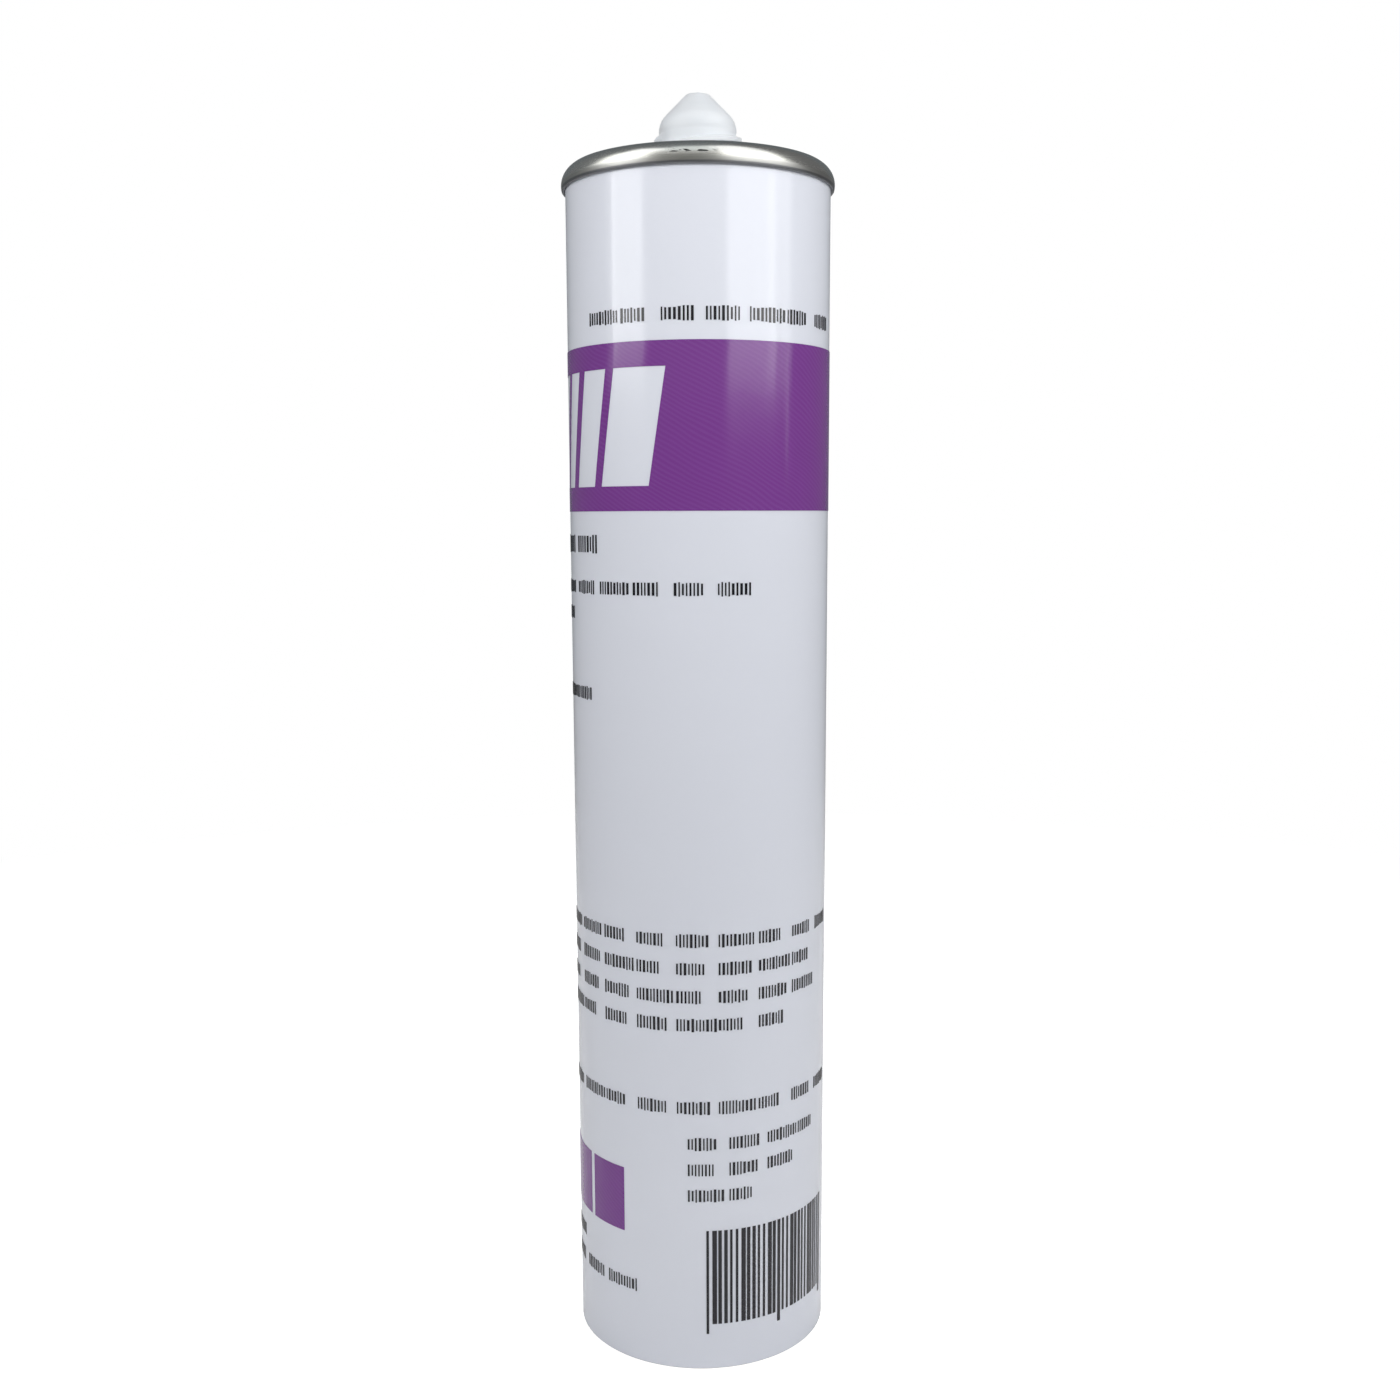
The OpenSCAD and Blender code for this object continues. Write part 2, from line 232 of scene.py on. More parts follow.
class Shader(Graph):
    """The tree of one material, with its place on the object as coordinates."""

    def __init__(self, name: str) -> None:
        """Start a material.

        Args:
            name: The material's name.
        """
        self.material = bpy.data.materials.new(name)
        self.material.use_nodes = True
        super().__init__(self.material.node_tree)
        self.place = self.node("ShaderNodeTexCoord", output="Object")
        self.x, self.y, self.z = self.split(self.place)

    def radius(self) -> Term:
        """Distance from the axis."""
        return self.math("SQRT", self.x * self.x + self.y * self.y)

    def turn(self) -> Term:
        """Angle round the axis, in radians from the front, growing to the right."""
        return self.math("ARCTAN2", self.x, 0.0 - self.y)

    def stretched(self, scale: Point) -> Term:
        """Place on the tube's wall, stretched for a texture.

        Args:
            scale: How much finer the texture is across and along the axis.

        Returns:
            The coordinates.
        """
        return self.node(
            "ShaderNodeMapping",
            values={"Vector": self.place, "Scale": (scale[0], scale[0], scale[1])},
        )

    def noise(self, scale: float, detail: float, place: Term | None = None) -> Term:
        """Noise from 0 to 1.

        Args:
            scale: Waves in a metre.
            detail: Octaves.
            place: Coordinates, or the object's own.

        Returns:
            The noise.
        """
        return self.node(
            "ShaderNodeTexNoise",
            values={"Vector": place or self.place, "Scale": scale, "Detail": detail},
        )

    def bump(self, height: Term, depth: float) -> Term:
        """Normal that a height gives.

        Args:
            height: The height from 0 to 1.
            depth: What a height of 1 measures, in metres.

        Returns:
            The normal.
        """
        return self.node(
            "ShaderNodeBump", values={"Height": height, "Distance": depth, "Strength": 1.0},
        )

    def close(self, values: Mapping[str, Any]) -> bpy.types.Material:
        """End the material in a Principled shader.

        Args:
            values: A value or a term for each of its sockets, by name.

        Returns:
            The material.
        """
        return self.end(self.node("ShaderNodeBsdfPrincipled", values=values))

    def end(self, surface: Term) -> bpy.types.Material:
        """End the material in a surface of any kind.

        Args:
            surface: The surface.

        Returns:
            The material.
        """
        self.node("ShaderNodeOutputMaterial", values={"Surface": surface})
        return self.material


def opaque(colour: Colour) -> tuple[float, float, float, float]:
    """A colour with its fourth channel at 1."""
    return (*colour, 1.0)


@dataclass(frozen=True)
class Gloss:
    """Gloss that the film and the ink on it share, so a reflection runs on across both."""

    roughness: float = 0.13
    ripple_scale: float = 260.0
    ripple_depth: float = 0.012 * MM
    wave_scale: float = 38.0
    wave_depth: float = 0.05 * MM
    rub_scale: float = 55.0

    def normal(self, shader: Shader) -> Term:
        """Normal of a slightly uneven wall.

        Args:
            shader: The material's tree.

        Returns:
            The normal.
        """
        ripple = shader.noise(self.ripple_scale, 3.0)
        wave = shader.noise(self.wave_scale, 2.0, shader.stretched((1.0, 0.35)))
        share = self.ripple_depth / self.wave_depth
        return shader.bump(wave + ripple * share, self.wave_depth)

    def rough(self, shader: Shader) -> Term:
        """Roughness with faint rubbed places.

        Args:
            shader: The material's tree.

        Returns:
            The roughness.
        """
        return self.roughness * (0.8 + 0.4 * shader.noise(self.rub_scale, 4.0))


@dataclass(frozen=True)
class FilmFinish:
    """White gloss film over the wound tube."""

    gloss: Gloss
    colour: Colour = (0.745, 0.768, 0.84)
    shade: Colour = (0.725, 0.749, 0.825)
    cloud_scale: float = 14.0

    def material(self) -> bpy.types.Material:
        """Make the material."""
        shader = Shader("tube_film")
        cloud = shader.noise(self.cloud_scale, 3.0)
        return shader.close({
            "Base Color": shader.blend(cloud.within(0.35, 0.65, 0.4), self.shade, self.colour),
            "Roughness": self.gloss.rough(shader),
            "Normal": self.gloss.normal(shader),
        })


@dataclass(frozen=True)
class BoardFinish:
    """Wound board that shows at the rear edge: thin paper plies with a foil lining inside."""

    colour: Colour = (0.6, 0.55, 0.46)
    dark: Colour = (0.42, 0.37, 0.29)
    ply: float = 0.2 * MM
    fibre_scale: float = 1800.0
    roughness: float = 0.85

    def material(self) -> bpy.types.Material:
        """Make the material."""
        shader = Shader("tube_board")
        ply = shader.math("FRACT", shader.radius() / self.ply)
        fibre = shader.noise(self.fibre_scale, 4.0)
        mask = (abs(ply - 0.5) * 2.0 * 0.6 + fibre * 0.5).clamped()
        return shader.close({
            "Base Color": shader.blend(mask, self.dark, self.colour),
            "Roughness": self.roughness,
            "Normal": shader.bump(fibre, 0.03 * MM),
        })


@dataclass(frozen=True)
class LiningFinish:
    """Foil lining of the bore, spiral wound with a fine lapped seam."""

    colour: Colour = (0.62, 0.63, 0.64)
    seam: Colour = (0.3, 0.3, 0.3)
    seam_share: float = 0.5
    lap: float = 46 * MM
    crinkle_scale: float = 420.0
    roughness: float = 0.34

    def material(self) -> bpy.types.Material:
        """Make the material."""
        shader = Shader("tube_lining")
        turn = shader.turn() / (2 * math.pi)
        across = shader.math("FRACT", shader.z / self.lap - turn)
        seam = across.within(0.02, 0.035, 0.01)
        crinkle = shader.noise(self.crinkle_scale, 4.0)
        return shader.close({
            "Base Color": shader.blend(seam * self.seam_share, self.colour, self.seam),
            "Metallic": 1.0,
            "Roughness": self.roughness + crinkle * 0.16,
            "Normal": shader.bump(crinkle + across * 0.4, 0.03 * MM),
        })


@dataclass(frozen=True)
class InkFinish:
    """Printed ink, with the screen of faint slanting lines that the band has."""

    name: str
    gloss: Gloss
    colour: Colour
    screened: Colour
    screen_pitch: float = 0.9 * MM
    screen_rise: float = 0.55
    screen_share: float = 0.5
    weave_scale: float = 90.0
    cloud_scale: float = 30.0
    radius: float = 25 * MM

    def material(self) -> bpy.types.Material:
        """Make the material."""
        shader = Shader(self.name)
        along = shader.turn() * self.radius
        weave = shader.noise(self.weave_scale, 1.0) * 3.0
        height = shader.z + along * self.screen_rise
        lines = shader.math("FRACT", height / self.screen_pitch + weave)
        screen = (abs(lines - 0.5) * 2.0).above(0.55, 0.5)
        cloud = shader.noise(self.cloud_scale, 3.0)
        share = (screen * self.screen_share * (0.5 + cloud)).clamped()
        return shader.close({
            "Base Color": shader.blend(share, self.colour, self.screened),
            "Roughness": self.gloss.rough(shader),
            "Normal": self.gloss.normal(shader),
        })


@dataclass(frozen=True)
class TinplateFinish:
    """Bright stamped tinplate: fine turned lines, painted shade on the rim's foot and lower half,
    and small scuffs.
    """

    tube_radius: float
    top: float
    foot: float
    colour: Colour = (0.62, 0.62, 0.6)
    # The next two colours are painted shade: the dark strip at the rim's foot and the darker lower
    # half of the rim.
    foot_shade: Colour = (0.2, 0.205, 0.22)
    lower_shade: Colour = (0.3, 0.3, 0.29)
    scuff: Colour = (0.05, 0.05, 0.05)
    worn: Colour = (0.5, 0.505, 0.5)
    inner_w: float = 1.2 * MM
    # Heights of the painted shade at the rim's foot and on its lower half.
    foot_shade_h: float = 0.55 * MM
    lower_shade_h: float = 1.3 * MM
    stain_drift: float = 0.2 * MM
    roughness: float = 0.17
    line_scale: float = 60.0
    stain_scale: float = 90.0
    fleck_scale: float = 1500.0
    fleck_turn: Span = (-0.2, 0.12)
    fleck_h: Span = (1.95 * MM, 2.5 * MM)

    def material(self) -> bpy.types.Material:
        """Make the material."""
        shader = Shader("tinplate")
        lines = shader.noise(self.line_scale, 6.0, shader.stretched((1.0, 60.0)))
        stain = shader.noise(self.stain_scale, 4.0, shader.stretched((1.0, 2.5)))
        outside = shader.radius().above(self.tube_radius - self.inner_w, 0.2 * MM)
        level = shader.z + (stain - 0.5) * self.stain_drift
        # Painted shade: mask of the dark strip at the rim's foot, outside only.
        foot = outside * (1 - shader.z.above(self.foot + self.foot_shade_h, 0.16 * MM))
        # Painted shade: mask of the rim's darker lower half, its edge made uneven by the stain
        # noise.
        middle = outside * (1 - level.above(self.foot + self.lower_shade_h, 0.5 * MM))
        scuffs = self._scuffs(shader) * outside
        colour = shader.blend(stain.above(0.55, 0.3) * 0.3, self.colour, self.worn)
        # Painted shade blended in: first the rim's lower half, then the strip at its foot.
        colour = shader.blend(middle * 0.7, colour, self.lower_shade)
        colour = shader.blend(foot * 0.9, colour, self.foot_shade)
        colour = shader.blend(scuffs, colour, self.scuff)
        dullness = lines * 0.06 + stain * 0.08 + middle * 0.14 + scuffs * 0.3
        return shader.close({
            "Base Color": colour,
            "Metallic": 1.0,
            "Roughness": self.roughness + dullness,
            "Normal": shader.bump(lines + stain * 0.6, 0.006 * MM),
        })

    def _scuffs(self, shader: Shader) -> Term:
        """Mask of the dark flecks on the front of the rim.

        Args:
            shader: The material's tree.

        Returns:
            The mask.
        """
        low, high = (self.foot + h for h in self.fleck_h)
        front = shader.turn().within(*self.fleck_turn, 0.05)
        fleck = shader.noise(self.fleck_scale, 3.0, shader.stretched((0.5, 1.6)))
        return front * shader.z.within(low, high, 0.15 * MM) * fleck.above(0.53, 0.04)


@dataclass(frozen=True)
class MilkyFinish:
    """Natural polyethylene: milky, a little uneven, with faint level flow lines."""

    name: str
    colour: Colour
    shade: Colour
    roughness: float = 0.42
    soft: float = 0.25
    soft_depth: float = 1.2 * MM
    flow_scale: float = 170.0
    grain_scale: float = 1400.0

    def material(self) -> bpy.types.Material:
        """Make the material."""
        shader = Shader(self.name)
        flow = shader.noise(self.flow_scale, 3.0, shader.stretched((0.5, 2.4)))
        grain = shader.noise(self.grain_scale, 2.0)
        return shader.close({
            "Base Color": shader.blend(flow.within(0.3, 0.62, 0.3), self.shade, self.colour),
            "Roughness": self.roughness + flow * 0.14,
            "Subsurface Weight": self.soft,
            "Subsurface Radius": (1.0, 0.95, 0.9),
            "Subsurface Scale": self.soft_depth,
            "Normal": shader.bump(flow + grain * 0.15, 0.035 * MM),
        })


@dataclass(frozen=True)
class PasteFinish:
    """The filling, a dense pale paste."""

    colour: Colour = (0.8, 0.79, 0.74)
    shade: Colour = (0.7, 0.69, 0.64)
    lump_scale: float = 260.0
    roughness: float = 0.4

    def material(self) -> bpy.types.Material:
        """Make the material."""
        shader = Shader("paste")
        lump = shader.noise(self.lump_scale, 4.0)
        return shader.close({
            "Base Color": shader.blend(lump, self.colour, self.shade),
            "Roughness": self.roughness + lump * 0.2,
            "Normal": shader.bump(lump, 0.15 * MM),
        })


def arc(centre: Point, radius: float, first: float, last: float, step: float = 6.0) -> list[Point]:
    """Points along an arc in the plane of radius and height.

    Args:
        centre: Radius and height of the arc's centre.
        radius: The arc's radius.
        first: Its first angle in degrees.
        last: Its last angle in degrees.
        step: The most degrees from one point to the next.

    Returns:
        The points.
    """
    count = max(2, math.ceil(abs(last - first) / step))
    angles = [math.radians(first + (last - first) * i / count) for i in range(count + 1)]
    return [(centre[0] + radius * math.cos(a), centre[1] + radius * math.sin(a)) for a in angles]


def rows(first: Point, last: Point, count: int) -> list[Point]:
    """Points evenly spaced between two points, without the points themselves.

    Args:
        first: The first point.
        last: The last point.
        count: How many points lie between them.

    Returns:
        The points.
    """
    shares = [(i + 1) / (count + 1) for i in range(count)]
    return [tuple(a + (b - a) * s for a, b in zip(first, last)) for s in shares]


def put(name: str, data: bpy.types.ID) -> bpy.types.Object:
    """Put an object in the scene.

    Args:
        name: The object's name.
        data: Its mesh, light or camera.

    Returns:
        The object.
    """
    made = bpy.data.objects.new(name, data)
    bpy.context.scene.collection.objects.link(made)
    return made


def piece(name: str, mesh: bpy.types.Mesh, sharp: float = 32.0) -> bpy.types.Object:
    """Put a mesh in the scene as a smooth piece with sharp edges where it folds.

    Args:
        name: The piece's name.
        mesh: Its mesh.
        sharp: Least angle of a sharp edge, in degrees.

    Returns:
        The piece.
    """
    mesh.name = name
    mesh.shade_smooth()
    mesh.set_sharp_from_angle(angle=math.radians(sharp))
    log.info("%s: %d faces", name, len(mesh.polygons))
    return put(name, mesh)


def lathe(outline: Sequence[Point], segments: int = 256) -> bmesh.types.BMesh:
    """Turn a closed outline round the axis.

    Args:
        outline: Radius and height of each point, the last joined to the first.
        segments: Faces round the axis.

    Returns:
        The closed mesh, with each face's index in the outline in its "part" layer.
    """
    made = bmesh.new()
    part = made.faces.layers.int.new("part")
    angles = [2 * math.pi * i / segments for i in range(segments)]
    rings = []
    for radius, height in outline:
        if radius < TOUCHING:
            rings.append([made.verts.new((0.0, 0.0, height))] * segments)
        else:
            rings.append([
                made.verts.new((radius * math.cos(a), radius * math.sin(a), height)) for a in angles
            ])
    for index, ring in enumerate(rings):
        above = rings[(index + 1) % len(rings)]
        for i in range(segments):
            j = (i + 1) % segments
            corners = list(dict.fromkeys([ring[i], ring[j], above[j], above[i]]))
            if len(corners) > 2:
                made.faces.new(corners)[part] = index
    bmesh.ops.recalc_face_normals(made, faces=made.faces)
    return made


def as_mesh(made: bmesh.types.BMesh, name: str) -> bpy.types.Mesh:
    """Turn a bmesh into a mesh and free it.

    Args:
        made: The bmesh.
        name: The mesh's name.

    Returns:
        The mesh.
    """
    mesh = bpy.data.meshes.new(name)
    made.to_mesh(mesh)
    made.free()
    return mesh


class Recipe(Graph):
    """A Geometry Nodes group with named inputs, which works on a start mesh."""

    KINDS = {
        float: "NodeSocketFloat", int: "NodeSocketInt", bpy.types.Material: "NodeSocketMaterial",
    }

    def __init__(self, name: str, values: Mapping[str, Any]) -> None:
        """Start a group.

        Args:
            name: The group's name.
            values: The value of each input, by the input's name.
        """
        super().__init__(bpy.data.node_groups.new(name, "GeometryNodeTree"))
        self.values = dict(values)
        interface = self.tree.interface
        interface.new_socket("Geometry", in_out="OUTPUT", socket_type="NodeSocketGeometry")
        interface.new_socket("Geometry", in_out="INPUT", socket_type="NodeSocketGeometry")
        self.identifiers = {
            key: interface.new_socket(
                key, in_out="INPUT", socket_type=self.KINDS[type(value)]).identifier
            for key, value in self.values.items()
        }
        start = self.node("NodeGroupInput")
        self.inputs = {s.name: Term(self, s) for s in start.socket.node.outputs if s.name}

    def close(self, geometry: Term) -> None:
        """End the group: instances made real, then the material.

        Args:
            geometry: The geometry before these steps.
        """
        real = self.node("GeometryNodeRealizeInstances", values={"Geometry": geometry})
        dressed = self.node(
            "GeometryNodeSetMaterial",
            values={"Geometry": real, "Material": self.inputs["Material"]},
        )
        self.node("NodeGroupOutput", values={"Geometry": dressed})

    def run(self, start: bpy.types.Mesh) -> bpy.types.Mesh:
        """Run the group on a start mesh.

        Args:
            start: The mesh that the group's geometry input takes.

        Returns:
            The result as a plain mesh.
        """
        holder = put(self.tree.name, start)
        modifier = holder.modifiers.new(self.tree.name, "NODES")
        modifier.node_group = self.tree
        for key, value in self.values.items():
            modifier[self.identifiers[key]] = value
        depsgraph = bpy.context.evaluated_depsgraph_get()
        made = bpy.data.meshes.new_from_object(
            holder.evaluated_get(depsgraph), preserve_all_data_layers=True, depsgraph=depsgraph)
        holder.modifiers.remove(modifier)
        bpy.data.objects.remove(holder)
        return made


@dataclass
class Seam:
    """Rolled seam of tube and metal end: curl at the foot, round outer side and top bend."""

    radius: float = 25 * MM
    wall: float = 1.5 * MM
    sheet: float = 0.3 * MM
    gap: float = 0.05 * MM
    hook_room: float = 0.06 * MM
    rim_h: float = 4.2 * MM
    rim_side: float = 3.6 * MM
    rim_bend: float = 0.35 * MM
    turned_h: float = 1.7 * MM
    top: float = field(init=False)

    def __post_init__(self) -> None:
        """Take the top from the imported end."""
        self.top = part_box("top_end")[1].z

    @property
    def bore(self) -> float:
        """Radius of the tube's bore."""
        return self.radius - self.wall

    @property
    def chuck(self) -> float:
        """Radius of the metal wall inside the tube, in the middle of the sheet."""
        return self.bore - self.gap - self.sheet / 2

    @property
    def curl_bend(self) -> float:
        """Radius of the curl at the foot, in the middle of the sheet."""
        return (self.sheet + self.hook_room) / 2

    @property
    def side_bend(self) -> float:
        """Radius of the outer side, in the middle of the sheet."""
        return self.rim_side - self.sheet / 2

    @property
    def curl(self) -> Vector:
        """Centre of the curl, as radius and height."""
        offset = self.curl_bend + self.sheet / 2
        return Vector((self.radius + self.gap + offset, self.top - self.rim_h + offset))

    @property
    def crown(self) -> Vector:
        """Centre of the top bend, as radius and height."""
        return Vector((self.chuck + self.rim_bend, self.top - self.sheet / 2 - self.rim_bend))

    @property
    def side(self) -> Vector:
        """Centre of the outer side, which runs smoothly into the curl and the top bend."""
        first, second = self.side_bend - self.curl_bend, self.side_bend - self.rim_bend
        way = self.crown - self.curl
        span = way.length
        way /= span
        along = (first ** 2 - second ** 2 + span ** 2) / (2 * span)
        across = math.sqrt(first ** 2 - along ** 2)
        return self.curl + along * way + across * Vector((-way.y, way.x))

    @property
    def foot_angle(self) -> float:
        """Angle in degrees below level at which the curl runs into the side."""
        return math.degrees(math.atan2(self.side.y - self.curl.y, self.curl.x - self.side.x))

    @property
    def side_angle(self) -> float:
        """Angle in degrees at which the side runs into the top bend."""
        way = self.crown - self.side
        return math.degrees(math.atan2(way.y, way.x))

    def turned_edge(self) -> list[Point]:
        """Turned top edge of the tube, from its underside round to the bore."""
        bend = self.side_bend - self.sheet / 2 - self.gap
        crown_bend = self.rim_bend - self.sheet / 2 - self.gap
        height = self.top - self.sheet - self.gap - self.turned_h
        angle = math.asin((height - self.side.y) / bend)
        low = height - self.side.x - bend * math.cos(angle) + self.radius
        return [
            (self.radius, low),
            *arc(self.side, bend, math.degrees(angle), self.side_angle),
            *arc(self.crown, crown_bend, self.side_angle, 180, 15)[1:],
        ]

    def hook_h(self) -> float:
        """Length of the hook above the curl."""
        low = self.turned_edge()[0][1]
        reach = self.radius + 2 * self.gap + self.sheet - self.side.x
        limit = self.side.y + math.sqrt((self.side_bend - self.sheet / 2) ** 2 - reach ** 2)
        return min(low - self.gap, limit) - self.curl.y


@dataclass
class Tube:
    """Wound tube: gloss film outside, board at the rear edge, lining in the bore."""

    gloss: Gloss
    seam: Seam
    chamfer: float = 0.4 * MM
    cut_round: float = 0.1 * MM
    wall_rows: int = 24

    @property
    def radius(self) -> float:
        """Outer radius of the tube."""
        return self.seam.radius

    def outline(self) -> list[Point]:
        """Section of the tube's wall, from the rear edge up the outside and down the bore."""
        edge = self.seam.turned_edge()
        return [
            (self.seam.bore + self.chamfer, 0.0),
            (self.radius - self.cut_round, 0.0), (self.radius, self.cut_round),
            *rows((self.radius, 0.0), edge[0], self.wall_rows), *edge,
            (self.seam.bore, self.chamfer),
        ]

    def build(self) -> bpy.types.Object:
        """Make the tube in place of its solid.

        Returns:
            The tube.
        """
        outline = self.outline()
        made = lathe(outline)
        part = made.faces.layers.int["part"]
        for face in made.faces:
            first, second = outline[face[part]], outline[(face[part] + 1) % len(outline)]
            inside = max(first[0], second[0]) < self.seam.bore + TOUCHING
            edge = max(first[1], second[1]) < self.chamfer + TOUCHING
            face.material_index = 2 if inside else 1 if edge and first[0] != second[0] else 0
        tube = piece("tube", as_mesh(made, "tube"))
        for finish in (FilmFinish(self.gloss), BoardFinish(), LiningFinish()):
            tube.data.materials.append(finish.material())
        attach(tube, Body.CARTRIDGE.value)
        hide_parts("tube_body")
        return tube


@dataclass
class MetalEnd:
    """Stamped tinplate end: one sheet bent into hook, rim, groove, stepped panel and collar."""

    seam: Seam
    groove_depth: float = 4.9 * MM
    groove_bend: float = 0.6 * MM
    panel_depth: float = 3.4 * MM
    panel_bend: float = 0.5 * MM
    step_radius: float = 17.0 * MM
    step_h: float = 0.8 * MM
    step_bend: float = 0.7 * MM
    collar_h: float = 1.3 * MM
    collar_bend: float = 0.5 * MM
    neck_radius: float = 9.25 * MM
    segments: int = 320
    sharp: float = 40.0

    def bends(self) -> tuple[list[Bend], float, float]:
        """Bends along the middle of the sheet, with the straight lengths at both ends.

        Returns:
            Centre radius, centre height, radius and two angles of each bend, then the length of
            the hook and that of the collar.
        """
        seam = self.seam
        half = seam.sheet / 2
        panel = seam.top - self.panel_depth - half
        inner = panel - self.step_h
        run = self.step_h + 2 * self.step_bend * (math.sqrt(2) - 1)
        collar = self.neck_radius + seam.gap + half
        groove_z = seam.top - self.groove_depth + self.groove_bend + half
        return [
            (*seam.curl, seam.curl_bend, 180, 360 - seam.foot_angle),
            (*seam.side, seam.side_bend, -seam.foot_angle, seam.side_angle),
            (*seam.crown, seam.rim_bend, seam.side_angle, 180),
            (seam.chuck - self.groove_bend, groove_z, self.groove_bend, 0, -180),
            (seam.chuck - 2 * self.groove_bend - self.panel_bend, panel - self.panel_bend,
             self.panel_bend, 0, 90),
            (self.step_radius, panel - self.step_bend, self.step_bend, 90, 135),
            (self.step_radius - run, inner + self.step_bend, self.step_bend, 315, 270),
            (collar + self.collar_bend, inner + self.collar_bend, self.collar_bend, 270, 180),
        ], seam.hook_h(), half + self.collar_h - self.collar_bend

    def side(self, off: float) -> list[Point]:
        """One face of the sheet.

        Args:
            off: Distance of the face to the left of the sheet's middle.

        Returns:
            Its points, from the hook to the collar.
        """
        bends, hook, collar = self.bends()
        points: list[Point] = []
        for r, z, radius, first, last in bends:
            way = 1 if last > first else -1
            bend = arc((r, z), radius - off * way, first, last, 4.0)
            met = bool(points) and math.dist(points[-1], bend[0]) < TOUCHING
            points += bend[1:] if met else bend
        before = (points[0][0], points[0][1] + hook)
        after = (points[-1][0], points[-1][1] + collar)
        return [before, *points, after]

    def build(self) -> bpy.types.Object:
        """Make the metal end in place of its solid.

        Returns:
            The metal end.
        """
        half = self.seam.sheet / 2
        outline = self.side(half) + self.side(-half)[::-1]
        made = lathe(outline, self.segments)
        end = piece("metal_end", as_mesh(made, "metal_end"), self.sharp)
        finish = TinplateFinish(self.seam.radius, self.seam.top, self.seam.top - self.seam.rim_h)
        end.data.materials.append(finish.material())
        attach(end, Body.CARTRIDGE.value)
        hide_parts("top_end")
        return end


